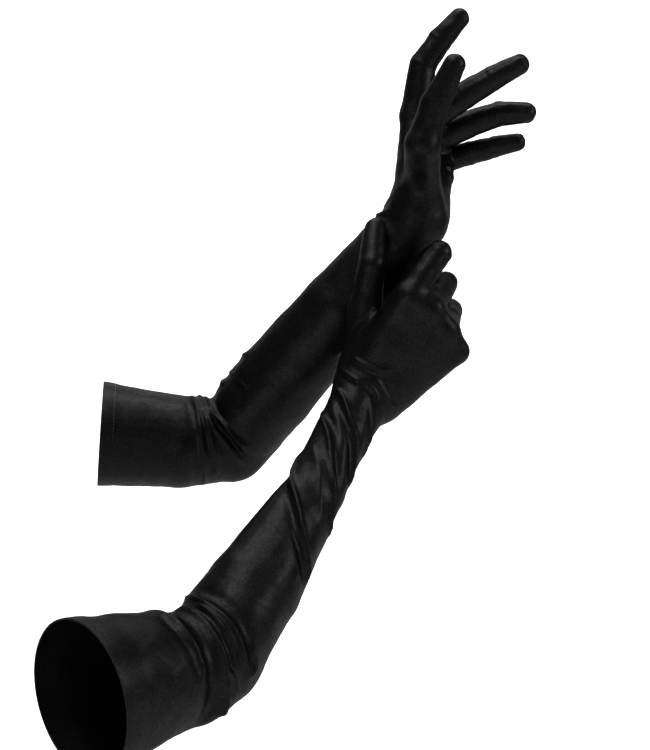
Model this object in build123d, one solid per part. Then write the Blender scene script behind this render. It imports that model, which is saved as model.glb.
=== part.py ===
"""A pair of long satin evening gloves, shaped as they sit on two bent arms.

The left glove's arm comes in from -X, bends up at the elbow and ends in an open hand. The right glove comes
from below and in front (-Y), and its closed hand pinches the left sleeve just below the wrist.

Frame: millimetres, +Z up, the wearer faces +X, origin at the centre of the left cuff's opening.
Each glove is cut as a palm panel and a back panel that run from the fingertips to the cuff, a thumb,
three forked strips between the fingers (fourchettes) and a turned, twin-stitched hem. The long panels are
written as one node for each stretch that moves as a whole: upper sleeve, elbow, forearm, wrist and hand.
"""
from build123d import *
from math import cos, radians, sin
import os

# ---- Driving dimensions, in millimetres ----
FABRIC = 0.8                   # satin with its seam allowance pressed flat
HEM_LENGTH = 12.0
HEM_WALL = 1.6                 # the hem is two layers of fabric
UPPER_LENGTH = 110.0           # cuff opening to elbow
FOREARM_LENGTH = 250.0         # elbow to wrist
ELBOW_SETBACK = 40.0           # half the stretch of sleeve that creases when the elbow bends
WRIST_SETBACK = 13.0
STITCH_FROM_EDGE = 10.5        # the outer row of stitches, from the cuff's edge
THREAD_RADIUS = 0.25
STITCH_ROW_GAP = 3.2           # between the two rows of the hem's stitching
JOINT_FULLNESS = 0.15          # how much rounder the fabric sits over a joint than beside it

THREAD_SINK = 0.05             # the stitches stand this far off the hem, so that faces never cross

# Hand, measured from the wrist centre: along the palm, towards the thumb, towards the back of the hand.
KNUCKLES = {"index": (85, 23, 0), "middle": (87, 3, 2), "ring": (81, -17, 1), "little": (72, -36, -3)}
PHALANGES = {"index": (42, 25, 23), "middle": (46, 28, 24), "ring": (42, 27, 23), "little": (34, 22, 19)}
FINGER_RADII = {"index": (9.1, 9.2, 8.8, 7.6), "middle": (9.1, 9.2, 8.9, 7.8),
                "ring": (8.9, 9.0, 8.7, 7.8), "little": (8.2, 8.1, 7.8, 7.0)}
ROOT_RADII = {"index": (12.5, 11.6), "middle": (12.5, 11.6), "ring": (12.2, 11.6), "little": (11.6, 10.8)}
THUMB_ROOT = (16, 18, -9)
THUMB_BONES = (46, 33, 33)
THUMB_RADII = (10.6, 10.6, 7.8)
THENAR_RADII = (15.0, 13.0)
THUMB_RIM_BACK = 7.0           # the thumb's root ends this far before the joint it turns on
STALL_START = 0.6              # where a finger leaves the hand, as a share of its first phalanx
FOURCHETTE_HALF = 3.2          # half the width of the strip between two fingers
SOCKET_DEPTH = 5.0             # how far a stall's rounded base reaches back into its root
# Palm: distance along the hand, shift towards the thumb, half width, half depth. It starts as round as the wrist.
PALM_START = 10.0
PALM_SECTIONS = ((46, -3, 37, 22.5), (77, -6, 41.5, 14))
KNUCKLE_LINE = 70.0            # beyond this the palm is closed, between the roots of the fingers
WEB_CLEARANCE = 0.35           # between a finger and the flat side of the next finger's root

FINGERS = ("index", "middle", "ring", "little")
FOURCHETTE_SIDES = {"index": (-1,), "middle": (1, -1), "ring": (1, -1), "little": (1,)}  # +1 is the thumb side
FOURCHETTE_NAMES = {1: "thumb_side_fourchette", -1: "little_side_fourchette"}
SLAB_OUTLINE = [Vector(-40, -60), Vector(60, -60), Vector(60, 60), Vector(-40, 60)]

# ---- Poses: unit-length directions are made from these, angles are in degrees ----
# Sleeves: distance from the cuff or the elbow, outer radius, and how far the centre sags to the lower side.
POSES = {
    "left": {
        "upper": (0.98, 0.17, -0.06), "forearm": (0.64, -0.19, 0.745),
        "upper_sleeve": ((0, 44.0, 0), (110, 36.0, 0)),
        "lower_sleeve": ((0, 36.0, 0), (60, 38.2, 0), (150, 33.5, 0), (210, 28.5, 0), (250, 27.0, 0)),
        "along": (0.066, 0.334, 0.94), "back": (-0.95, 0.293, -0.018), "thumb_turn": 1,
        "fingers": {"index": (20, (11, 28, 7)), "middle": (17.5, (61, 3, 4)),
                    "ring": (-2, (68, 5, 20)), "little": (-9, (76, 2, 3))},
        "thumb": ((0.33, 0.77, -0.13), (0.80, 0.46, -0.38), (0.74, 0.36, -0.50)),
    },
    "right": {
        "upper": (0.69, 0.715, 0.10), "forearm": (0.437, 0.566, 0.70),
        "upper_sleeve": ((0, 49.5, 0), (110, 36.5, 0)),
        "lower_sleeve": ((0, 36.5, 0), (54, 33.5, 2.3), (150, 23.0, 5.0), (207, 21.5, 0.8), (250, 24.0, 0)),
        "along": (0.611, -0.245, 0.752), "back": (-0.045, -0.942, -0.343), "thumb_turn": -1,
        "fingers": {"index": (-1, (23, 103, 46)), "middle": (-17, (67, 92, 42)),
                    "ring": (-17, (78.5, 86, 40)), "little": (-13, (91, 80, 36))},
        "thumb": ((0.71, 0.46, -0.23), (0.85, 0.42, -0.12), (0.49, 0.31, -0.47)),
    },
}
RIGHT_WRIST = Vector(224, -60, 35)   # centre of the right wrist
FRONT = Vector(0, -1, 0)


def unit(values):
    return Vector(*values).normalized()


def sleeve_at(start, way, rows, distance):
    """Centre and outer radius at a distance along a sleeve whose rows give distance, radius and sag."""
    for (s0, r0, sag0), (s1, r1, sag1) in zip(rows, rows[1:]):
        if s0 <= distance <= s1:
            share = (distance - s0) / (s1 - s0)
            low_side = way.cross(FRONT).normalized()
            return start + way * distance + low_side * (sag0 + (sag1 - sag0) * share), r0 + (r1 - r0) * share


class Glove:
    """Joint centres and directions of one glove."""

    def __init__(self, side, cuff=None, wrist=None):
        pose = POSES[side]
        self.side = side
        self.upper = unit(pose["upper"])
        self.forearm = unit(pose["forearm"])
        if wrist is None:
            self.elbow = cuff + self.upper * UPPER_LENGTH
            self.wrist = self.elbow + self.forearm * FOREARM_LENGTH
        else:
            self.wrist = wrist
            self.elbow = wrist - self.forearm * FOREARM_LENGTH
        self.cuff = self.elbow - self.upper * UPPER_LENGTH
        self.along = unit(pose["along"])
        back = Vector(*pose["back"])
        self.back = (back - self.along * back.dot(self.along)).normalized()
        self.thumbward = self.along.cross(self.back) * pose["thumb_turn"]
        self.fingers = {f: self.finger_points(f, *pose["fingers"][f]) for f in FINGERS}
        self.thumb = self.thumb_points(pose["thumb"])
        self.upper_sleeve = pose["upper_sleeve"]
        self.lower_sleeve = pose["lower_sleeve"]
        self.cuff_radius = self.upper_sleeve[0][1]
        self.wrist_radius = self.lower_sleeve[-1][1]

    def place(self, along, thumbward, back):
        """A point given in the hand's own directions."""
        return self.wrist + self.along * along + self.thumbward * thumbward + self.back * back

    def upper_at(self, from_cuff):
        """Centre and outer radius of the sleeve above the elbow."""
        return sleeve_at(self.cuff, self.upper, self.upper_sleeve, from_cuff)

    def forearm_at(self, from_elbow):
        """Centre and outer radius of the sleeve below the elbow."""
        return sleeve_at(self.elbow, self.forearm, self.lower_sleeve, from_elbow)

    def finger_points(self, finger, spread, bends):
        """Centres of a finger from its knuckle to its tip, and its straight and dorsal directions."""
        straight = self.along * cos(radians(spread)) + self.thumbward * sin(radians(spread))
        points = [self.place(*KNUCKLES[finger])]
        bend = 0
        for length, more in zip(PHALANGES[finger], bends):
            bend += more
            direction = straight * cos(radians(bend)) - self.back * sin(radians(bend))
            points.append(points[-1] + direction * length)
        return points, straight

    def thumb_points(self, directions):
        points = [self.place(*THUMB_ROOT)]
        for length, (along, thumbward, back) in zip(THUMB_BONES, directions):
            direction = (self.along * along + self.thumbward * thumbward + self.back * back).normalized()
            points.append(points[-1] + direction * length)
        return points


# ---- Shapes ----
def cone_between(start, end, start_radius, end_radius):
    axis = end - start
    base = (Align.CENTER, Align.CENTER, Align.MIN)
    if start_radius == end_radius:
        return Plane(origin=start, z_dir=axis) * Cylinder(start_radius, axis.length, align=base)
    return Plane(origin=start, z_dir=axis) * Cone(start_radius, end_radius, axis.length, align=base)


def limb(points, radii, ball_at=()):
    """Cones from point to point, rounded by a ball at each listed point."""
    body = cone_between(points[0], points[1], radii[0], radii[1])
    for i in range(1, len(points) - 1):
        body += cone_between(points[i], points[i + 1], radii[i], radii[i + 1])
    for i in ball_at:
        body += Pos(points[i]) * Sphere(radii[i] + JOINT_FULLNESS)
    return body


def lengthened(points, start=0, end=0):
    """The same centre line, made longer at its open ends."""
    longer = list(points)
    longer[0] = points[0] - (points[1] - points[0]).normalized() * start
    longer[-1] = points[-1] + (points[-1] - points[-2]).normalized() * end
    return longer


def tube(points, radii):
    """A fabric tube, open at both ends, with a ball at every bend."""
    bends = range(1, len(points) - 1)
    longer = lengthened(points, 2, 2)
    shell = limb(longer, radii, bends) - limb(lengthened(longer, 1, 1), [r - FABRIC for r in radii], bends)
    shell -= half_space(points[0], points[0] - points[1])
    return shell - half_space(points[-1], points[-1] - points[-2])


def half_space(origin, outward, reach=400):
    """The block on the outward side of a plane through origin."""
    return Plane(origin=origin, z_dir=outward) * Box(
        reach, reach, reach, align=(Align.CENTER, Align.CENTER, Align.MIN))


def offset_line(points, distance):
    """A bent flat line moved sideways, positive to the left of its direction."""
    moved = []
    for i, point in enumerate(points):
        ways = []
        if i > 0:
            ways.append((point - points[i - 1]).normalized())
        if i < len(points) - 1:
            ways.append((points[i + 1] - point).normalized())
        normals = [Vector(-way.Y, way.X) for way in ways]
        middle = (normals[0] + normals[-1]).normalized()
        moved.append(point + middle * (distance / middle.dot(normals[0])))
    return moved


class BendingPlane:
    """The plane in which a finger bends: x is the straight finger, y the back of the hand."""

    def __init__(self, glove, finger):
        self.points, self.straight = glove.fingers[finger]
        self.back = glove.back
        self.lateral = self.straight.cross(glove.back).normalized()
        self.thumb_sign = 1 if self.lateral.dot(glove.thumbward) > 0 else -1

    def flat(self, point):
        away = point - self.points[0]
        return Vector(away.dot(self.straight), away.dot(self.back))

    def prism(self, outline, little_side, thumb_side):
        """A flat outline thickened between two distances towards the thumb from the finger's centre."""
        low, high = sorted((little_side * self.thumb_sign, thumb_side * self.thumb_sign))
        plane = Plane(origin=self.points[0] + self.lateral * low, x_dir=self.straight, z_dir=self.lateral)
        face = plane * Polygon(*[(p.X, p.Y) for p in outline], align=None)
        return extrude(face, amount=high - low, dir=self.lateral)


# ---- Fingers ----
def stall(glove, finger):
    """A finger as a palm strip, a back strip and the fourchette halves at its sides."""
    plane = BendingPlane(glove, finger)
    knuckle, *joints = plane.points
    radii = FINGER_RADII[finger]
    base = knuckle + (joints[0] - knuckle) * STALL_START
    chain = lengthened([base, *joints], SOCKET_DEPTH)
    bends = range(1, len(chain))
    shell = limb(chain, radii, bends) - limb(
        lengthened(chain, 1), [r - FABRIC for r in radii], bends)

    line = [plane.flat(p) for p in lengthened(chain, 3)]
    seam = offset_line(line, FOURCHETTE_HALF)
    reach = 26
    tip = line[-1]
    end_way = (tip - line[-2]).normalized() * reach
    side_way = Vector(-end_way.Y, end_way.X)
    above = [*seam, tip, tip + end_way, tip + end_way + side_way, *reversed(offset_line(line, reach))]
    back_block = plane.prism(above, -reach, reach)
    pieces = {"back": shell & back_block}
    not_palm = back_block
    band = [*seam, *reversed(offset_line(line, -FOURCHETTE_HALF))]
    for side in FOURCHETTE_SIDES[finger]:
        edges = (0, reach) if side > 0 else (-reach, 0)
        band_block = plane.prism(band, *edges)
        pieces[FOURCHETTE_NAMES[side]] = shell & band_block
        not_palm += band_block
    pieces["palm"] = shell - not_palm
    return pieces


def thumb_stall(glove):
    """The thumb is one folded piece; its rounded base turns inside the rim of its root."""
    chain = glove.thumb[1:]
    every = range(len(chain))
    shell = limb(chain, THUMB_RADII, every) - limb(chain, [r - FABRIC for r in THUMB_RADII], every)
    way = (chain[1] - chain[0]).normalized()
    return shell - half_space(chain[0] - way * SOCKET_DEPTH, way * -1)


# ---- The palm and the back of the hand ----
def palm_body(glove, inset):
    """The palm as a solid, drawn in from the fabric's outside by inset."""
    sections = []
    start = (PALM_START, 0, glove.wrist_radius, glove.wrist_radius)
    for along, shift, width, depth in (start, *PALM_SECTIONS):
        along -= inset if along > KNUCKLE_LINE else 0
        plane = Plane(origin=glove.place(along, shift, 0), x_dir=glove.thumbward, z_dir=glove.along)
        sections.append(plane * Ellipse(width - inset, depth - inset))
    return loft(sections)


def root_widths(finger):
    """How far a finger's root may reach towards the little finger and towards the thumb."""
    i = FINGERS.index(finger)
    room = []
    for j in (i + 1, i - 1):
        if 0 <= j < len(FINGERS):
            spacing = abs(KNUCKLES[finger][1] - KNUCKLES[FINGERS[j]][1])
            room.append(spacing - FINGER_RADII[FINGERS[j]][0] - WEB_CLEARANCE)
        else:
            room.append(30)
    return room


def hand_body(glove, inset):
    """The palm with the finger and thumb roots; open ends run on when inset is not zero."""
    run_on = 1 if inset else 0
    body = palm_body(glove, inset)
    for finger in FINGERS:
        plane = BendingPlane(glove, finger)
        knuckle, joint = plane.points[:2]
        wide, narrow = ROOT_RADII[finger]
        ends = lengthened([knuckle, knuckle + (joint - knuckle) * STALL_START], 0, run_on)
        root = limb(ends, (wide - inset, narrow - inset), (0,))
        little_side, thumb_side = root_widths(finger)
        slab = plane.prism(SLAB_OUTLINE, -(little_side - inset), thumb_side - inset)
        body += root & slab
    ends = lengthened(glove.thumb[:2], 0, run_on - THUMB_RIM_BACK)
    return body + limb(ends, [r - inset for r in THENAR_RADII], (0,))


def hand_panels(glove):
    """The palm panel and the back panel, parted along the sides of the hand and of each finger root."""
    shell = hand_body(glove, 0) - hand_body(glove, FABRIC)
    shell -= half_space(glove.place(WRIST_SETBACK, 0, 0), glove.along * -1)
    overlap = 3
    blocks = []
    for finger in FINGERS:
        plane = BendingPlane(glove, finger)
        start = glove.wrist - plane.straight * 20
        line = [plane.flat(start), Vector(0, 0), plane.flat(plane.points[1])]
        above = [*line, *reversed(offset_line(line, 40))]
        i = FINGERS.index(finger)
        little_side = (KNUCKLES[finger][1] - KNUCKLES[FINGERS[i + 1]][1]) / 2 + overlap if i < 3 else 40
        thumb_side = (KNUCKLES[FINGERS[i - 1]][1] - KNUCKLES[finger][1]) / 2 + overlap if i > 0 else 40
        blocks.append(plane.prism(above, -little_side, thumb_side))
    block = blocks[0].fuse(*blocks[1:])
    palm = max((shell - block).solids(), key=lambda solid: solid.volume)
    return {"palm": palm, "back": shell & block}


# ---- Sleeves ----
def back_of_sleeve(glove):
    """The block that holds the back panel of the sleeve; the side seams lie on its inner face.

    On the left the palm is turned down, so the seams run along both sides of the bent arm. On the right the
    forearm is turned so that they run along the inside and the outside of the bend.
    """
    reach = 250
    out_of_bend = glove.upper.cross(glove.forearm).normalized()
    if glove.side == "right":
        return half_space(glove.elbow, out_of_bend, reach * 3)
    plane = Plane(origin=glove.elbow - out_of_bend * reach, x_dir=glove.forearm, z_dir=out_of_bend)
    ends = (glove.cuff - glove.upper * 20, glove.elbow, glove.wrist + glove.forearm * 60)
    line = [plane.to_local_coords(p) for p in ends]
    line = [Vector(p.X, p.Y) for p in line]
    outline = [*line, *reversed(offset_line(line, 120))]
    face = plane * Polygon(*[(p.X, p.Y) for p in outline], align=None)
    return extrude(face, amount=2 * reach, dir=out_of_bend)


def sleeve_panels(glove):
    """The stretches of the sleeve, each as a palm panel and a back panel."""
    upper_end = glove.upper_at(UPPER_LENGTH - ELBOW_SETBACK)
    forearm_end = FOREARM_LENGTH - WRIST_SETBACK
    below = [s for s, _, _ in glove.lower_sleeve if ELBOW_SETBACK < s < forearm_end]
    wrist = (glove.wrist, glove.wrist_radius + 0.1)
    hand_start = (glove.place(WRIST_SETBACK, 0, 0), glove.wrist_radius)
    stretches = {
        "upper": [glove.upper_at(HEM_LENGTH), upper_end],
        "elbow": [upper_end, glove.upper_at(UPPER_LENGTH), glove.forearm_at(ELBOW_SETBACK)],
        "forearm": [glove.forearm_at(s) for s in (ELBOW_SETBACK, *below, forearm_end)],
        "wrist": [glove.forearm_at(forearm_end), wrist, hand_start],
    }
    block = back_of_sleeve(glove)
    panels = {}
    for stretch, line in stretches.items():
        shell = tube(*zip(*line))
        panels[stretch] = {"palm": shell - block, "back": shell & block}
    return panels


def hem_parts(glove):
    """The turned hem, and the two rows of stitching that hold it."""
    base = (Align.CENTER, Align.CENTER, Align.MIN)
    plane = Plane(origin=glove.cuff, z_dir=glove.upper)
    ring = plane * Cylinder(glove.cuff_radius, HEM_LENGTH, align=base)
    ring -= Plane(origin=glove.cuff - glove.upper, z_dir=glove.upper) * Cylinder(
        glove.cuff_radius - HEM_WALL, HEM_LENGTH + 2, align=base)
    parts = {"cuff_hem": ring}
    for name, distance in (("outer", STITCH_FROM_EDGE), ("inner", STITCH_FROM_EDGE - STITCH_ROW_GAP)):
        row = Plane(origin=glove.cuff + glove.upper * distance, z_dir=glove.upper)
        parts[f"hem_stitches_{name}"] = row * Torus(
            glove.cuff_radius + THREAD_RADIUS + THREAD_SINK, THREAD_RADIUS)
    return parts


# ---- The pair ----
def build(glove):
    """Every node of one glove, by name."""
    nodes = dict(hem_parts(glove))
    for stretch, panels in sleeve_panels(glove).items():
        for panel, shape in panels.items():
            nodes[f"{stretch}_{panel}_panel"] = shape
    for panel, shape in hand_panels(glove).items():
        nodes[f"hand_{panel}_panel"] = shape
    nodes["thumb"] = thumb_stall(glove)
    for finger in FINGERS:
        for piece, shape in stall(glove, finger).items():
            nodes[f"{finger}_{piece}"] = shape
    return {f"{glove.side}_{name}": shape for name, shape in nodes.items()}


os.makedirs("parts", exist_ok=True)
for pair_glove in (Glove("left", cuff=Vector(0, 0, 0)), Glove("right", wrist=RIGHT_WRIST)):
    for node, shape in build(pair_glove).items():
        export_step(shape, f"parts/{node}.step")
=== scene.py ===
import math

import bmesh
import bpy
import numpy as np
import openvdb
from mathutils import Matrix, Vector


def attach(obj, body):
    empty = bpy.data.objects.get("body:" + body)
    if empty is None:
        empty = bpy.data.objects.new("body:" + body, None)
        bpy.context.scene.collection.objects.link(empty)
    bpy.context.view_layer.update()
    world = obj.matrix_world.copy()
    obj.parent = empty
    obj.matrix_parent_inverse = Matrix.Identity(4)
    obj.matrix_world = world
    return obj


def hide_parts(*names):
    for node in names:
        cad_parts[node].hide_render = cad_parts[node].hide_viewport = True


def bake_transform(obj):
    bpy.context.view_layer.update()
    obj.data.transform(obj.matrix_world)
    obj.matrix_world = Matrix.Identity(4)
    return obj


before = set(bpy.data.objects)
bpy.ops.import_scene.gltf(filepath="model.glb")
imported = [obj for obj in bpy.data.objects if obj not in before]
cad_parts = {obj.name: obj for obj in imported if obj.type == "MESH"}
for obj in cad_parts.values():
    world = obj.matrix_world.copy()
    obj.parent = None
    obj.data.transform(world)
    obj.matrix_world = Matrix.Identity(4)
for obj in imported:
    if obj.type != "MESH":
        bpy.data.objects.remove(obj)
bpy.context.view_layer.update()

# Lengths are in millimetres until a mesh is made. The skeleton is the one in part.py.
MM = 0.001
STEP = 1.5                      # spacing of the fabric's mesh
FABRIC, HEM = 0.6, 1.3          # thickness
SIDE_STRIP = 6.4                # width of the strips between a finger's back and its palm side
UPPER_LENGTH, FOREARM_LENGTH = 110.0, 250.0
HEM_LENGTH = 12.0
STITCH_FROM_EDGE, STITCH_ROW_GAP = 10.5, 3.2
STITCH_LENGTH, THREAD_RADIUS = 2.6, 0.24
SLEEVE_SPLIT = 125.0            # from the elbow: the sleeve is one piece above it, another below
FLOOR = -0.33                   # in metres
FINGERS = ("index", "middle", "ring", "little")
KNUCKLES = {"index": (85, 23, 0), "middle": (87, 3, 2), "ring": (81, -17, 1), "little": (72, -36, -3)}
PHALANGES = {"index": (42, 25, 23), "middle": (46, 28, 24), "ring": (42, 27, 23), "little": (34, 22, 19)}
RADII = {"index": (11.2, 10.2, 9.2, 7.6), "middle": (11.2, 10.4, 9.5, 7.8),
         "ring": (11.0, 10.4, 9.6, 8.0), "little": (10.0, 9.2, 8.4, 7.0)}
THUMB_ROOT, THUMB_BONES, THUMB_RADII = (16, 18, -9), (46, 33, 33), (15.0, 13.0, 11.6, 8.8)
STALL_START = 0.6
POSES = {
    "left": {
        "upper": (0.98, 0.17, -0.06), "forearm": (0.64, -0.19, 0.745),
        "upper_sleeve": ((0, 44.0, 0), (66, 40.0, 3.8), (110, 36.0, 0)),
        "lower_sleeve": ((0, 36.0, 0), (60, 38.2, 0), (150, 33.5, 0), (210, 28.5, 0), (250, 27.0, 0)),
        "along": (0.066, 0.334, 0.94), "back": (-0.95, 0.293, -0.018), "thumb_turn": 1, "fullness": 1.12,
        "fingers": {"index": (20, (11, 28, 7)), "middle": (17.5, (61, 3, 4)),
                    "ring": (-2, (68, 5, 20)), "little": (-9, (76, 2, 3))},
        "thumb": ((0.33, 0.77, -0.13), (0.80, 0.46, -0.38), (0.74, 0.36, -0.50)),
    },
    "right": {
        "upper": (0.69, 0.715, 0.10), "forearm": (0.437, 0.566, 0.70),
        "upper_sleeve": ((0, 49.5, 0), (60, 41.5, 2.0), (85, 37.7, 6.0), (110, 36.5, 0)),
        "lower_sleeve": ((0, 36.5, 0), (54, 33.5, 2.3), (150, 23.0, 5.0), (207, 21.5, 0.8), (250, 24.0, 0)),
        "along": (0.611, -0.245, 0.752), "back": (-0.045, -0.942, -0.343), "thumb_turn": -1, "fullness": 1.0,
        "fingers": {"index": (-1, (23, 103, 46)), "middle": (-17, (67, 92, 42)),
                    "ring": (-17, (78.5, 86, 40)), "little": (-13, (91, 80, 36))},
        "thumb": ((0.71, 0.46, -0.23), (0.85, 0.42, -0.12), (0.49, 0.31, -0.47)),
    },
}
RIGHT_WRIST = (224, -60, 35)
VIEWER = np.array((0.0, -1.0, 0.0))


def unit(v):
    v = np.asarray(v, float)
    return v / np.linalg.norm(v)


class Skeleton:
    """Joint centres and directions of one glove, as numpy vectors."""

    def __init__(self, side):
        pose = POSES[side]
        self.side = side
        self.upper, self.forearm = unit(pose["upper"]), unit(pose["forearm"])
        if side == "left":
            self.elbow = self.upper * UPPER_LENGTH
            self.wrist = self.elbow + self.forearm * FOREARM_LENGTH
        else:
            self.wrist = np.array(RIGHT_WRIST, float)
            self.elbow = self.wrist - self.forearm * FOREARM_LENGTH
        self.cuff = self.elbow - self.upper * UPPER_LENGTH
        self.cuff_radius = pose["upper_sleeve"][0][1]
        self.upper_sleeve = self.centre_line(self.cuff, self.upper, pose["upper_sleeve"])
        self.lower_sleeve = self.centre_line(self.elbow, self.forearm, pose["lower_sleeve"])
        self.along = unit(pose["along"])
        back = np.array(pose["back"])
        self.back = unit(back - self.along * (back @ self.along))
        self.thumbward = np.cross(self.along, self.back) * pose["thumb_turn"]
        self.radii = {name: [r * pose["fullness"] for r in RADII[name]] for name in FINGERS}
        self.fingers = {}
        for name in FINGERS:
            spread, bends = pose["fingers"][name]
            spread = math.radians(spread)
            straight = self.along * math.cos(spread) + self.thumbward * math.sin(spread)
            points, bend = [self.place(*KNUCKLES[name])], 0
            for length, more in zip(PHALANGES[name], bends):
                bend += math.radians(more)
                points.append(points[-1] + (straight * math.cos(bend) - self.back * math.sin(bend)) * length)
            self.fingers[name] = points
        points = [self.place(*THUMB_ROOT)]
        for length, way in zip(THUMB_BONES, pose["thumb"]):
            points.append(points[-1] + unit(self.turn(*way)) * length)
        self.fingers["thumb"] = points

    def centre_line(self, start, way, rows):
        low_side = unit(np.cross(way, VIEWER))
        return [(start + way * s + low_side * sag, r) for s, r, sag in rows]

    def turn(self, along, thumbward, back):
        return self.along * along + self.thumbward * thumbward + self.back * back

    def place(self, along, thumbward, back):
        return self.wrist + self.turn(along, thumbward, back)


# ---- The shape as a distance field ----
def cone_distance(p, cone):
    a, b, ra, rb = cone
    ab = b - a
    t = np.clip((p - a) @ ab / (ab @ ab), 0, 1)
    return np.linalg.norm(p - a - t[:, None] * ab, axis=1) - (ra + (rb - ra) * t)


def smooth_min(a, b, k):
    h = np.clip(0.5 + 0.5 * (b - a) / k, 0, 1)
    return b + (a - b) * h - k * h * (1 - h)


def chain(points, radii):
    return [(points[i], points[i + 1], radii[i], radii[i + 1]) for i in range(len(points) - 1)]


class Field:
    """Signed distance to a glove's outside: a smooth body, and limbs that join it but not each other."""

    def __init__(self, body, limbs):
        self.body, self.limbs = body, limbs      # body: [(cone, blend)], limbs: {name: ([cones], blend)}

    def limb(self, p, name):
        d = None
        for cone in self.limbs[name][0]:
            c = cone_distance(p, cone)
            d = c if d is None else smooth_min(d, c, 0.8)
        return d

    def __call__(self, p):
        d = np.full(len(p), 1e3)
        for cone, blend in self.body:
            d = smooth_min(d, cone_distance(p, cone), blend)
        total = d
        for name, (_, blend) in self.limbs.items():
            e = self.limb(p, name)
            total = np.minimum(total, smooth_min(d, e, blend) if self.body else e)
        return total

    def gradient(self, p, e=0.05):
        g = np.empty_like(p)
        for k in range(3):
            d = np.zeros(3)
            d[k] = e
            g[:, k] = (self(p + d) - self(p - d)) / (2 * e)
        return g

    def project(self, p, rounds=2):
        for _ in range(rounds):
            g = self.gradient(p)
            p = p - g * (self(p) / np.maximum((g * g).sum(1), 0.2))[:, None]
        return p

    def cones(self):
        return [c for c, _ in self.body] + [c for cones, _ in self.limbs.values() for c in cones]


def arm_cones(sk):
    """The sleeve, from beyond the cuff to the wrist, with the point of the elbow."""
    out = unit(sk.upper - sk.forearm)
    beyond = 30
    flare = 0.12 * beyond
    line = [(sk.cuff - sk.upper * beyond, sk.cuff_radius + flare), *sk.upper_sleeve, *sk.lower_sleeve[1:]]
    cones = [((p0, p1, r0, r1), 2.0) for (p0, r0), (p1, r1) in zip(line, line[1:])]
    tip = sk.elbow + out * (sk.lower_sleeve[0][1] - 31)
    cones.append(((tip, tip + sk.forearm * 8, 30.0, 30.0), 5.0))
    return cones


PALM_ROOTS = {"index": 12, "middle": 3, "ring": -7, "little": -16}


def hand_cones(sk):
    """The palm, the base of the thumb and the webs between the fingers."""
    cones = []
    for name, shift in PALM_ROOTS.items():
        knuckle = sk.fingers[name][0]
        cones.append(((sk.place(6, shift, 0), knuckle, 17.0, RADII[name][0]), 12.0))
    cones.append(((sk.place(14, -16, -11), sk.place(64, -31, -12), 12.5, 12.0), 9.0))
    thumb_root, thumb_knuckle = sk.fingers["thumb"][:2]
    cones.append(((thumb_root, thumb_knuckle, THUMB_RADII[0], THUMB_RADII[1]), 10.0))
    cones.append(((sk.place(50, 12, -4), thumb_root * 0.25 + thumb_knuckle * 0.75, 9.0, 8.0), 12.0))
    for a, b in zip(FINGERS, FINGERS[1:]):
        pa, pb = sk.fingers[a], sk.fingers[b]
        start = (pa[0] + pb[0]) / 2
        end = (pa[0] * 0.62 + pa[1] * 0.38 + pb[0] * 0.62 + pb[1] * 0.38) / 2
        cones.append(((start, end, 9.0, 6.5), 6.0))
    return cones


def glove_field(sk):
    limbs = {}
    for name in FINGERS:
        points = sk.fingers[name]
        cut = points[0] * 0.05 + points[1] * 0.95
        limbs[name] = (chain([points[0], cut], (sk.radii[name][0], sk.radii[name][1] + 0.05)), 4.0)
    limbs["thumb"] = (chain(sk.fingers["thumb"][1:], THUMB_RADII[1:]), 5.0)
    return Field(arm_cones(sk) + hand_cones(sk), limbs)


def finger_field(sk, name):
    return Field([], {name: (chain(sk.fingers[name], sk.radii[name]), 1.0)})


# ---- From a field to a mesh ----
BLOCK = 8


def surface(field):
    """Quads on the field's zero surface, on a grid shared by every field."""
    cones = field.cones()
    low = np.min([np.minimum(a, b) - max(ra, rb) for a, b, ra, rb in cones], axis=0) - 10
    high = np.max([np.maximum(a, b) + max(ra, rb) for a, b, ra, rb in cones], axis=0) + 10
    size = BLOCK * STEP
    low_block = np.floor(low / size).astype(int)
    count = np.ceil(high / size).astype(int) - low_block
    index = np.stack(np.meshgrid(*[np.arange(n) for n in count], indexing="ij"), -1).reshape(-1, 3)
    centres = (low_block + index + 0.5) * size
    value = field(centres)
    grid = np.where(value.reshape(count) > 0, 1.0, -1.0) * 3 * STEP
    grid = grid.repeat(BLOCK, 0).repeat(BLOCK, 1).repeat(BLOCK, 2).astype(np.float32)
    near = index[np.abs(value) < size * 0.87 + 8]
    cell = np.stack(np.meshgrid(*[np.arange(BLOCK)] * 3, indexing="ij"), -1).reshape(-1, 3)
    cells = (near[:, None] * BLOCK + cell).reshape(-1, 3)
    points = (low_block * BLOCK + cells) * STEP
    grid[cells[:, 0], cells[:, 1], cells[:, 2]] = np.clip(field(points), -3 * STEP, 3 * STEP)
    volume = openvdb.FloatGrid(3 * STEP)
    volume.copyFromArray(grid)
    verts, quads = volume.convertToQuads(0.0)
    return (verts + low_block * BLOCK) * STEP, quads.astype(int)


def relax(points, quads, field, rounds, held=None):
    """Evens out the quads while they stay on the field's surface."""
    a = quads.ravel()
    b = np.roll(quads, -1, axis=1).ravel()
    for _ in range(rounds):
        total = np.zeros_like(points)
        for k in range(3):
            total[:, k] = (np.bincount(a, points[b, k], len(points))
                           + np.bincount(b, points[a, k], len(points)))
        count = np.bincount(a, minlength=len(points)) + np.bincount(b, minlength=len(points))
        target = total / count[:, None]
        if held is not None:
            target[held] = points[held]
        points = field.project(points + (target - points) * 0.5, 1)
    return points


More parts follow.
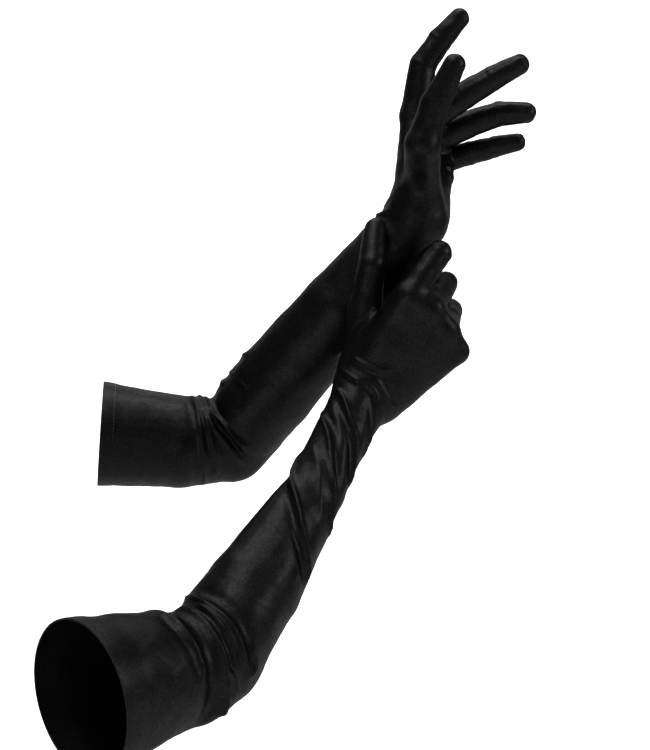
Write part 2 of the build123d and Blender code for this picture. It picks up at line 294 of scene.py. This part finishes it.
def cut(points, faces, planes):
    """Splits faces along planes; each plane has a test that says which faces it may touch."""
    bm = bmesh.new()
    for p in points:
        bm.verts.new(p)
    bm.verts.ensure_lookup_table()
    for f in faces:
        bm.faces.new([bm.verts[i] for i in f])
    for origin, normal, test in planes:
        centres = np.array([f.calc_center_median() for f in bm.faces])
        chosen = test(centres)
        geom = [f for f, c in zip(bm.faces, chosen) if c]
        edges = {e for f in geom for e in f.edges}
        verts = {v for f in geom for v in f.verts}
        bmesh.ops.bisect_plane(bm, geom=[*geom, *edges, *verts], dist=0.05,
                               plane_co=Vector(origin), plane_no=Vector(normal))
    bm.verts.index_update()
    out = np.array([v.co for v in bm.verts]), [[v.index for v in f.verts] for f in bm.faces]
    bm.free()
    return out


def near_limb(sk, name, points):
    """Nearest place on a digit's centre line: the segment's number, and the point."""
    joints = sk.fingers[name]
    best = np.full(len(points), 1e9)
    segment, centre = np.zeros(len(points), int), np.zeros_like(points)
    for i, (a, b) in enumerate(zip(joints, joints[1:])):
        t = np.clip((points - a) @ (b - a) / ((b - a) @ (b - a)), 0, 1)
        c = a + t[:, None] * (b - a)
        d = np.linalg.norm(points - c, axis=1)
        m = d < best
        best[m], segment[m], centre[m] = d[m], i, c[m]
    return segment, centre


# ---- Folds, as guide lines on the fabric ----
# A guide is a list of points. On the sleeves a point is ("u" or "f", distance from the elbow, degrees
# round the sleeve), with 0 facing the camera and 90 on the low side. On the hand it is
# ("h", along, thumbward, back).
# Each fold: height, width, side of the valley beside it, guide.
FOLDS = {
    "left": [
        (2.6, 3.2, 1, [("u", -36, -95), ("u", -26, -8), ("u", -22, 84)]),
        (1.9, 2.4, 1, [("u", -29, -60), ("u", -17, 0), ("u", -9, 48)]),
        (3.2, 2.9, -1, [("u", -30, -105), ("u", -16, -20), ("f", -1, 48)]),
        (1.8, 2.3, 1, [("u", -27, -100), ("u", -8, -28), ("f", 8, 40)]),
        (2.6, 2.8, -1, [("u", -24, -110), ("f", 17, -30), ("f", 13, 34)]),
        (1.2, 2.6, 1, [("f", 47, -100), ("f", 52, -45), ("f", 55, -18)]),
        (1.8, 4.5, 1, [("f", 34, -130), ("f", 36, -95), ("f", 38, -60)]),
        (1.6, 4.0, 1, [("f", 66, -130), ("f", 66, -95), ("f", 72, -62)]),
        (1.3, 2.2, 1, [("h", 0, -12, 26), ("h", -1, 11, 27), ("h", -4, 26, 12)]),
        (1.0, 2.2, 1, [("h", 8, -6, 24), ("h", 9, 14, 24), ("h", 10, 24, 14)]),
        (1.3, 2.4, -1, [("h", 88, -2, -20), ("h", 82, -18, -24), ("h", 70, -34, -20)]),
        (1.2, 2.4, 1, [("h", 60, -18, -20), ("h", 56, -27, -20), ("h", 46, -36, -14)]),
        (0.9, 3.0, 1, [("f", 120, 40), ("f", 140, 45), ("f", 165, 50)]),
    ],
    "right": [
        (4.6, 6.0, 1, [("u", -20, -110), ("u", -22, -30), ("u", -22, 22), ("u", -20, 60)]),
        (3.2, 4.2, -1, [("f", 24, -100), ("u", -5, -20), ("u", 0, 22), ("f", 4, 50)]),
        (2.2, 3.2, 1, [("u", -44, -75), ("u", -44, -46), ("u", -40, 4)]),
        (2.2, 2.4, 1, [("u", -20, 0), ("u", -14, 18), ("u", -8, 36)]),
        (2.8, 2.8, 1, [("u", -12, -85), ("u", -12, -30), ("u", -12, 10)]),
        (3.4, 3.0, 1, [("f", 178, -100), ("f", 144, -62), ("f", 108, 2), ("f", 88, 40), ("f", 74, 80)]),
        (2.8, 2.7, -1, [("f", 222, -100), ("f", 172, -10), ("f", 136, 46), ("f", 118, 85)]),
        (0.9, 3.4, 1, [("f", 178, -60), ("f", 150, -10), ("f", 112, 40)]),
        (2.6, 2.7, 1, [("f", 238, -75), ("f", 216, -22), ("f", 190, 36), ("f", 160, 80)]),
        (1.5, 2.2, 1, [("h", 6, 30, 4), ("h", 8, 22, 14), ("h", 9, 12, 20)]),
        (1.7, 2.8, 1, [("h", 12, 12, 20), ("f", 238, 20), ("f", 214, 62), ("f", 190, 95)]),
        (1.4, 2.2, -1, [("h", 20, 6, 18), ("h", 14, -8, 19), ("h", 8, -20, 15)]),
        (1.7, 2.6, 1, [("h", 19, 29, 8), ("h", 25, 11, 17), ("h", 33, -2, 18)]),
        (0.9, 2.0, 1, [("h", 62, 36, -12), ("h", 50, 36, -2), ("h", 33, 36, -2)]),
    ],
}


def guide_points(sk, field, guide):
    """A guide as a smooth line of points on the fabric."""
    corners = []
    for kind, *numbers in guide:
        if kind == "h":
            corners.append(sk.place(*numbers))
            continue
        along, turn = numbers
        way, rows = (sk.upper, sk.upper_sleeve) if kind == "u" else (sk.forearm, sk.lower_sleeve)
        facing = unit(VIEWER - way * (VIEWER @ way))
        low = np.cross(way, facing)
        distance = [(p - sk.elbow) @ way for p, _ in rows]
        centre = np.array([np.interp(along, distance, [p[k] for p, _ in rows]) for k in range(3)])
        angle = math.radians(turn)
        radius = np.interp(along, distance, [r for _, r in rows])
        corners.append(centre + (facing * math.cos(angle) + low * math.sin(angle)) * radius)
    line = []
    ends = [corners[0] * 2 - corners[1], *corners, corners[-1] * 2 - corners[-2]]
    for a, b, c, d in zip(ends, ends[1:], ends[2:], ends[3:]):
        for t in np.arange(0, 1, 0.125):
            line.append(0.5 * (2 * b + (c - a) * t + (2 * a - 5 * b + 4 * c - d) * t ** 2
                               + (3 * b - a - 3 * c + d) * t ** 3))
    line.append(corners[-1])
    return field.project(np.array(line), 3)


def fold_height(points, normals, line, height, width, side):
    """A ridge along the line with a valley on one side, fading out at the ends."""
    out = np.zeros(len(points))
    reach = width * 5
    box = ((points > line.min(0) - reach) & (points < line.max(0) + reach)).all(1)
    p, n = points[box], normals[box]
    best, across, along = np.full(len(p), 1e9), np.zeros(len(p)), np.zeros(len(p))
    for i, (a, b) in enumerate(zip(line, line[1:])):
        ab = b - a
        t = np.clip((p - a) @ ab / (ab @ ab), 0, 1)
        away = p - a - t[:, None] * ab
        d = np.linalg.norm(away, axis=1)
        m = d < best
        best[m], along[m] = d[m], (i + t[m]) / (len(line) - 1)
        across[m] = np.einsum("ij,ij->i", away[m], np.cross(ab / np.linalg.norm(ab), n[m]))
    fade = np.clip(along * 7, 0, 1) * np.clip((1 - along) * 7, 0, 1)
    fade = fade * fade * (3 - 2 * fade)
    far = best - np.abs(across)
    ridge = np.exp(-np.abs(across / (0.62 * width)) ** 1.35)
    ridge -= 0.62 * np.exp(-((across - side * 1.9 * width) / (1.25 * width)) ** 2)
    out[box] = height * fade * ridge * np.exp(-(far / (2 * width)) ** 2)
    return out


def ripples(points, seed, length, height):
    """Slight unevenness of worn fabric, as a sum of waves."""
    rng = np.random.default_rng(seed)
    total = np.zeros(len(points))
    for _ in range(14):
        way = unit(rng.normal(size=3)) * (2 * math.pi / (length * rng.uniform(0.6, 1.7)))
        total += np.sin(points @ way + rng.uniform(0, 6.3) + 1.3 * np.sin(points @ np.roll(way, 1) * 0.7))
    return total * height / math.sqrt(7)


def shell_normals(points, faces):
    """Outward normal at each point, from the faces round it."""
    normals = np.zeros_like(points)
    sizes = np.array([len(f) for f in faces])
    flat = np.concatenate([np.asarray(f) for f in faces])
    starts = np.concatenate([[0], np.cumsum(sizes)[:-1]])
    first = points[flat[starts]]
    middle = points[flat[starts + sizes // 2]] - first
    face = np.cross(points[flat[starts + 1]] - first, middle)
    face += np.cross(middle, points[flat[starts + sizes - 1]] - first)
    for k in range(3):
        normals[:, k] = np.bincount(flat, face[:, k].repeat(sizes), len(points))
    return normals / np.maximum(np.linalg.norm(normals, axis=1), 1e-9)[:, None]


def make_object(name, points, faces, seam, material, wall=FABRIC):
    """A fabric piece in metres, with an inside face and rims; boundary edges stay crisp."""
    used = np.unique(np.concatenate([np.asarray(f) for f in faces]))
    place = np.full(len(points), -1)
    place[used] = np.arange(len(used))
    mesh = bpy.data.meshes.new(name)
    mesh.from_pydata((points[used] * MM).tolist(), [], [[int(place[i]) for i in f] for f in faces])
    mesh.attributes.new("seam", "FLOAT", "POINT").data.foreach_set("value", seam[used].astype(np.float32))
    mesh.polygons.foreach_set("use_smooth", [True] * len(faces))
    counts = {}
    for polygon in mesh.polygons:
        for key in polygon.edge_keys:
            counts[key] = counts.get(key, 0) + 1
    for edge in mesh.edges:
        edge.use_edge_sharp = counts.get(edge.key, 0) == 1
    mesh.materials.append(material)
    obj = bpy.data.objects.new(name, mesh)
    bpy.context.collection.objects.link(obj)
    thick = obj.modifiers.new("fabric", "SOLIDIFY")
    thick.thickness, thick.offset, thick.use_rim = wall * MM, -1.0, True
    return obj


def finger_seams(sk, name, points):
    """Distance from each point to the nearest seam of a finger, one on each edge of its side strips."""
    segment, centre = near_limb(sk, name, points)
    joints = sk.fingers[name]
    lateral = unit(np.cross(joints[1] - joints[0], sk.back))
    directions = np.array([unit(b - a) for a, b in zip(joints, joints[1:])])
    dorsal = np.cross(lateral, directions)[segment]
    up = np.einsum("ij,ij->i", points - centre, dorsal)
    return np.abs(np.abs(up) - SIDE_STRIP / 2)


def finger_relief(sk, name, points):
    """Gathers at the tip and soft creases across the joints of a digit."""
    joints = sk.fingers[name]
    axis = unit(joints[-1] - joints[-2])
    side = unit(np.cross(axis, VIEWER))
    other = np.cross(axis, side)
    away = points - joints[-1]
    turn = np.arctan2(away @ side, away @ other)
    from_tip = away @ axis
    height = 0.35 * np.exp(-((from_tip - 4) / 4.0) ** 2) * np.cos(turn * 9) * (from_tip > -12)
    for i in range(1, len(joints) - 1):
        way = unit(joints[i + 1] - joints[i - 1])
        s = (points - joints[i]) @ way
        near = np.exp(-(np.linalg.norm(points - joints[i], axis=1) / 14) ** 4)
        height += near * 0.16 * np.sin(s * 2 * math.pi / 5.5 + i) * np.exp(-(s / 8) ** 2)
    return height


def build_digit(sk, name, satin):
    """A finger's stall from where it leaves the hand to its tip."""
    field = finger_field(sk, name)
    points, quads = surface(field)
    a, b = sk.fingers[name][0], sk.fingers[name][1]
    way = unit(b - a)
    start = a + (b - a) * STALL_START - way
    points = field.project(points)
    held = np.abs((points - start) @ way) < 5
    points = relax(points, quads, field, 3, held)
    points, faces = cut(points, quads.tolist(), [(start, way, lambda c: np.abs((c - start) @ way) < 6)])
    normals = shell_normals(points, faces)
    on_cut = (points - start) @ way
    fade = np.clip(on_cut / 6, 0, 1)
    number = FINGERS.index(name) + (10 if sk.side == "left" else 20)
    relief = finger_relief(sk, name, points) + ripples(points, number, 16, 0.16)
    points = points + normals * (relief * fade)[:, None]
    centres = np.array([points[f].mean(0) for f in faces])
    segment, _ = near_limb(sk, name, centres)
    keep = (segment > 0) | ((centres - start) @ way > 0)
    faces = [f for f, k in zip(faces, keep) if k]
    obj = make_object(f"{sk.side}_{name}_stall", points, faces, finger_seams(sk, name, points), satin)
    parts = [n for n in CAD_NODES if n.startswith(f"{sk.side}_{name}_")]
    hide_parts(*parts)
    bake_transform(obj)


def build_glove(side, satin, thread):
    """Every piece of one glove, cut from one surface, with its finger stalls added."""
    sk = Skeleton(side)
    field = glove_field(sk)
    points, quads = surface(field)
    points = field.project(points)
    stubs = []
    for name in FINGERS:
        a, b = sk.fingers[name][:2]
        way = unit(b - a)
        stubs.append((name, a, a + (b - a) * STALL_START - way, way))
    held = np.zeros(len(points), bool)
    for _, _, start, way in stubs:
        held |= (np.abs((points - start) @ way) < 5) & (np.linalg.norm(points - start, axis=1) < 16)
    points = relax(points, quads, field, 3, held)

    def owners(c):
        """Which finger stub a place belongs to, 0 for none."""
        best, who = np.full(len(c), 2.0), np.zeros(len(c), int)
        for i, (name, a, _, way) in enumerate(stubs):
            d = np.abs(field.limb(c, name))
            along = (c - a) @ way
            m = (d < best) & (along > 12)
            best[m], who[m] = d[m], i + 1
        return who

    elbow_split = sk.elbow + sk.forearm * SLEEVE_SPLIT
    hem_end = sk.cuff + sk.upper * HEM_LENGTH
    t0, t1 = sk.fingers["thumb"][0], sk.fingers["thumb"][1]
    thumb_way = unit(t1 - t0)
    thumb_start = t1 - thumb_way * 9

    def on_thumb(c):
        d = np.abs(field.limb(c, "thumb"))
        near = np.linalg.norm(np.cross(c - t0, thumb_way), axis=1) < 22
        first_bones = chain(sk.fingers["thumb"][:3], (15, 13, 11))
        on_bones = np.minimum(*[cone_distance(c, bone) for bone in first_bones]) < 5
        return ((c - t0) @ thumb_way > 20) & (near | (d < 3)) & (owners(c) == 0) & on_bones

    def close(c, origin, normal, depth):
        return np.abs((c - origin) @ normal) < depth

    def across_sleeve(origin, normal):
        return lambda c: close(c, origin, normal, 4) & (np.linalg.norm(c - origin, axis=1) < 60)

    def across_stub(number, origin, normal):
        return lambda c: (owners(c) == number) & close(c, origin, normal, 5)

    planes = [
        (sk.cuff, sk.upper, lambda c: close(c, sk.cuff, sk.upper, 4)),
        (hem_end, sk.upper, across_sleeve(hem_end, sk.upper)),
        (elbow_split, sk.forearm, across_sleeve(elbow_split, sk.forearm)),
        (thumb_start, thumb_way, lambda c: on_thumb(c) & close(c, thumb_start, thumb_way, 4)),
    ]
    for i, (_, _, start, way) in enumerate(stubs):
        planes.append((start, way, across_stub(i + 1, start, way)))
    points, faces = cut(points, quads.tolist(), planes)
    normals = shell_normals(points, faces)

    height = ripples(points, 3 if side == "left" else 4, 42, 0.35) + ripples(points, 5, 13, 0.08)
    for tall, wide, valley, guide in FOLDS[side]:
        height += fold_height(points, normals, guide_points(sk, field, guide), tall, wide, valley)
    fade = np.clip((points - sk.cuff) @ sk.upper / 18 - 0.6, 0, 1)
    for _, _, start, way in stubs:
        d = np.linalg.norm(points - start, axis=1)
        near_cut = np.clip(np.abs((points - start) @ way) / 6, 0, 1)
        fade = np.where(d < 15, np.minimum(fade, near_cut), fade)
    points = points + normals * (height * fade)[:, None]

    centres = np.array([points[f].mean(0) for f in faces])
    who = owners(centres)
    drop = (centres - sk.cuff) @ sk.upper < 0
    drop &= np.linalg.norm(centres - sk.cuff, axis=1) < 90
    for i, (_, _, start, way) in enumerate(stubs):
        drop |= (who == i + 1) & ((centres - start) @ way > 0)
    beyond_elbow = (centres - sk.elbow) @ unit(sk.upper + sk.forearm) > 0
    hem = ~drop & ~beyond_elbow & ((centres - hem_end) @ sk.upper < 0)
    thumb = ~drop & on_thumb(centres) & ((centres - thumb_start) @ thumb_way > 0)
    lower = ~drop & ~hem & ~thumb & beyond_elbow & ((centres - elbow_split) @ sk.forearm > 0)
    upper = ~drop & ~hem & ~thumb & ~lower

    seam = np.full(len(points), 9.0)
    belongs = owners(points)
    for i, name in enumerate(FINGERS):
        near = belongs == i + 1
        seam[near] = finger_seams(sk, name, points[near])
    out_of_bend = unit(np.cross(sk.upper, sk.forearm))
    along_arm = (points - sk.elbow) @ sk.forearm
    if side == "right":
        off = np.abs((points - sk.elbow) @ out_of_bend)
    else:
        bend_side = unit(np.cross(sk.forearm, out_of_bend))
        off = np.abs((points - sk.elbow) @ bend_side)
    seam = np.minimum(seam, np.where((along_arm > 20) & (along_arm < FOREARM_LENGTH - 20), off, 9.0))

    def panels(*stretches):
        return [f"{side}_{stretch}_{face}_panel" for stretch in stretches for face in ("palm", "back")]

    def piece(name, mask):
        return make_object(f"{side}_{name}", points, [f for f, m in zip(faces, mask) if m], seam, satin)

    hem_piece = make_object(f"{side}_hem", points + normals * 0.25, [f for f, m in zip(faces, hem) if m],
                            seam, satin, wall=HEM)
    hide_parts(f"{side}_cuff_hem")
    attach(hem_piece, f"{side}_upper")
    rows = stitches(sk, thread)
    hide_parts(f"{side}_hem_stitches_outer", f"{side}_hem_stitches_inner")
    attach(rows, f"{side}_upper")
    sleeve = piece("sleeve", upper)
    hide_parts(*panels("upper", "elbow", "forearm"))
    hand = piece("wrist_and_palm", lower)
    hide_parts(*panels("wrist", "hand"))
    stall = piece("thumb_stall", thumb)
    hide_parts(f"{side}_thumb")

    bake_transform(sleeve)
    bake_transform(hand)
    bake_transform(stall)
    for name in FINGERS:
        build_digit(sk, name, satin)


def stitches(sk, thread):
    """Two rows of short raised stitches round the hem."""
    verts, faces = [], []
    side = unit(VIEWER - sk.upper * (VIEWER @ sk.upper))
    low = np.cross(sk.upper, side)
    for distance in (STITCH_FROM_EDGE, STITCH_FROM_EDGE - STITCH_ROW_GAP):
        share = distance / UPPER_LENGTH
        radius = sk.cuff_radius + (sk.upper_sleeve[-1][1] - sk.cuff_radius) * share + 0.45
        count = int(2 * math.pi * radius / STITCH_LENGTH)
        for k in range(count):
            middle, half = 2 * math.pi * k / count, math.pi * 0.66 / count
            first = len(verts)
            for j, t in enumerate((-1, -0.55, 0, 0.55, 1)):
                angle = middle + half * t
                out = side * math.cos(angle) + low * math.sin(angle)
                thick = THREAD_RADIUS * math.sqrt(max(1 - t * t * 0.92, 0.05))
                centre = sk.cuff + sk.upper * distance + out * radius
                for q in range(6):
                    u = math.pi * q / 3
                    ring = out * math.cos(u) + sk.upper * math.sin(u)
                    verts.append((centre + ring * thick) * MM)
            for j in range(4):
                for q in range(6):
                    a, b = first + j * 6 + q, first + j * 6 + (q + 1) % 6
                    faces.append((a, b, b + 6, a + 6))
            faces.append(tuple(first + q for q in reversed(range(6))))
            faces.append(tuple(first + 24 + q for q in range(6)))
    mesh = bpy.data.meshes.new(f"{sk.side}_hem_stitching")
    mesh.from_pydata([tuple(v) for v in verts], [], faces)
    mesh.polygons.foreach_set("use_smooth", [True] * len(faces))
    mesh.materials.append(thread)
    obj = bpy.data.objects.new(f"{sk.side}_hem_stitching", mesh)
    bpy.context.collection.objects.link(obj)
    return obj


# ---- Materials ----
def satin_material():
    """Black satin knit: a broad sheen, a fine grain, and thread-fine grooves where panels are sewn; the
    grooves also get painted shade, a darker base colour along each seam.
    """
    mat = bpy.data.materials.new("satin")
    mat.use_nodes = True
    nodes, links = mat.node_tree.nodes, mat.node_tree.links
    shader = nodes["Principled BSDF"]
    shader.inputs["Roughness"].default_value = 0.42
    place = nodes.new("ShaderNodeTexCoord")

    def noise(scale, detail, roughness=0.6):
        node = nodes.new("ShaderNodeTexNoise")
        node.inputs["Scale"].default_value = scale
        node.inputs["Detail"].default_value = detail
        node.inputs["Roughness"].default_value = roughness
        links.new(place.outputs["Object"], node.inputs["Vector"])
        return node.outputs["Fac"]

    def ramp(fac, stops):
        node = nodes.new("ShaderNodeValToRGB")
        node.color_ramp.elements[0].position, node.color_ramp.elements[0].color = stops[0]
        node.color_ramp.elements[1].position, node.color_ramp.elements[1].color = stops[1]
        links.new(fac, node.inputs["Fac"])
        return node.outputs["Color"]

    def maths(operation, a, b=None, clamp=False):
        node = nodes.new("ShaderNodeMath")
        node.operation, node.use_clamp = operation, clamp
        for socket, value in zip(node.inputs, (a, b)):
            if value is None:
                continue
            if isinstance(value, (int, float)):
                socket.default_value = value
            else:
                links.new(value, socket)
        return node.outputs[0]

    facing = nodes.new("ShaderNodeLayerWeight")
    towards = maths("SUBTRACT", 1.0, facing.outputs["Facing"], True)
    grain, patches = noise(760, 2), noise(38, 3)
    sheen = maths("MULTIPLY", maths("POWER", towards, 1.8), 0.085)
    links.new(maths("MULTIPLY", sheen, maths("ADD", maths("MULTIPLY", grain, 2.4), -0.2)),
              shader.inputs["Specular IOR Level"])
    seam = nodes.new("ShaderNodeAttribute")
    seam.attribute_name = "seam"
    groove_and_shade = maths("SUBTRACT", 1.0, maths("DIVIDE", seam.outputs["Fac"], 0.7), True)
    dark, light = (0.0007, 0.0007, 0.0008, 1), (0.0021, 0.0021, 0.0023, 1)
    # Base colour: random grain tone, mixed towards a darker colour along the seam grooves as painted shade.
    colour = nodes.new("ShaderNodeMix")
    colour.data_type = "RGBA"
    colour.inputs["B"].default_value = (0.0005, 0.0005, 0.0006, 1)
    links.new(ramp(maths("ADD", maths("MULTIPLY", grain, 0.6), maths("MULTIPLY", patches, 0.4)),
                   ((0.3, dark), (0.7, light))), colour.inputs["A"])
    # Painted shade: the seam groove's depth also darkens the base colour, besides sinking the bump below.
    links.new(maths("MULTIPLY", groove_and_shade, 0.7), colour.inputs["Factor"])
    links.new(colour.outputs["Result"], shader.inputs["Base Color"])
    bump = nodes.new("ShaderNodeBump")
    bump.inputs["Strength"].default_value = 0.5
    bump.inputs["Distance"].default_value = 0.0003
    links.new(maths("SUBTRACT", maths("MULTIPLY", grain, 0.5), maths("MULTIPLY", groove_and_shade, 1.6)),
              bump.inputs["Height"])
    links.new(bump.outputs["Normal"], shader.inputs["Normal"])
    return mat


def plain_material(name, colour, roughness):
    """One even colour, for the backdrop and the fine thread."""
    mat = bpy.data.materials.new(name)
    mat.use_nodes = True
    shader = mat.node_tree.nodes["Principled BSDF"]
    shader.inputs["Base Color"].default_value = (*colour, 1)
    shader.inputs["Roughness"].default_value = roughness
    return mat


# ---- The scene ----
CAD_NODES = sorted(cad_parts)
satin, thread = satin_material(), plain_material("thread", (0.010, 0.010, 0.011), 0.4)
for glove_side in ("left", "right"):
    build_glove(glove_side, satin, thread)


def area_light(name, place, target, size, watts, colour=(1, 1, 1)):
    light = bpy.data.lights.new(name, "AREA")
    light.shape, light.size, light.energy, light.color = "SQUARE", size, watts, colour
    obj = bpy.data.objects.new(name, light)
    obj.location = place
    obj.rotation_mode = "QUATERNION"
    obj.rotation_quaternion = (Vector(target) - Vector(place)).to_track_quat("-Z", "Y")
    bpy.context.collection.objects.link(obj)


def studio():
    """A pale floor that curves up into a wall, and soft light from above, the camera's side and the right."""
    floor_end, curve, steps = 1.2, 0.9, 12
    profile = [(-3.0, FLOOR), (floor_end, FLOOR)]
    for i in range(1, steps + 1):
        turn = math.pi / 2 * i / steps
        profile.append((floor_end + curve * math.sin(turn), FLOOR + curve * (1 - math.cos(turn))))
    profile.append((floor_end + curve, 4.0))
    verts = [(x, y, z) for x in (-5.0, 5.0) for y, z in profile]
    n = len(profile)
    mesh = bpy.data.meshes.new("backdrop")
    mesh.from_pydata(verts, [], [(i, i + n, i + n + 1, i + 1) for i in range(n - 1)])
    mesh.polygons.foreach_set("use_smooth", [True] * (n - 1))
    mesh.materials.append(plain_material("backdrop", (0.93, 0.93, 0.93), 0.9))
    backdrop = bpy.data.objects.new("backdrop", mesh)
    bpy.context.collection.objects.link(backdrop)
    world = bpy.data.worlds.new("studio")
    world.use_nodes = True
    world.node_tree.nodes["Background"].inputs["Color"].default_value = (1, 1, 1, 1)
    world.node_tree.nodes["Background"].inputs["Strength"].default_value = 0.14
    bpy.context.scene.world = world
    target = (0.2, -0.1, 0.0)
    area_light("over", (-0.1, -0.7, 1.4), target, 0.7, 21)
    area_light("key", (-0.12, -0.82, -0.14), (0.17, -0.2, -0.1), 0.4, 1.6)
    area_light("right", (1.4, -0.4, 0.5), target, 0.5, 13)
    area_light("backdrop_wash", (0.2, 0.6, 1.9), (0.2, 2.0, 0.3), 1.6, 95)
    bpy.context.scene.view_settings.view_transform = "Standard"


def camera():
    """Level with the hands, about a metre away."""
    data = bpy.data.cameras.new("camera")
    data.lens, data.sensor_width, data.sensor_fit = 57.83, 36.0, "AUTO"
    data.clip_start, data.clip_end = 0.05, 50
    obj = bpy.data.objects.new("camera", data)
    obj.location = (0.192, -1.030, 0.050)
    obj.rotation_euler = (math.radians(90), 0, 0)
    bpy.context.collection.objects.link(obj)
    bpy.context.scene.camera = obj


studio()
camera()
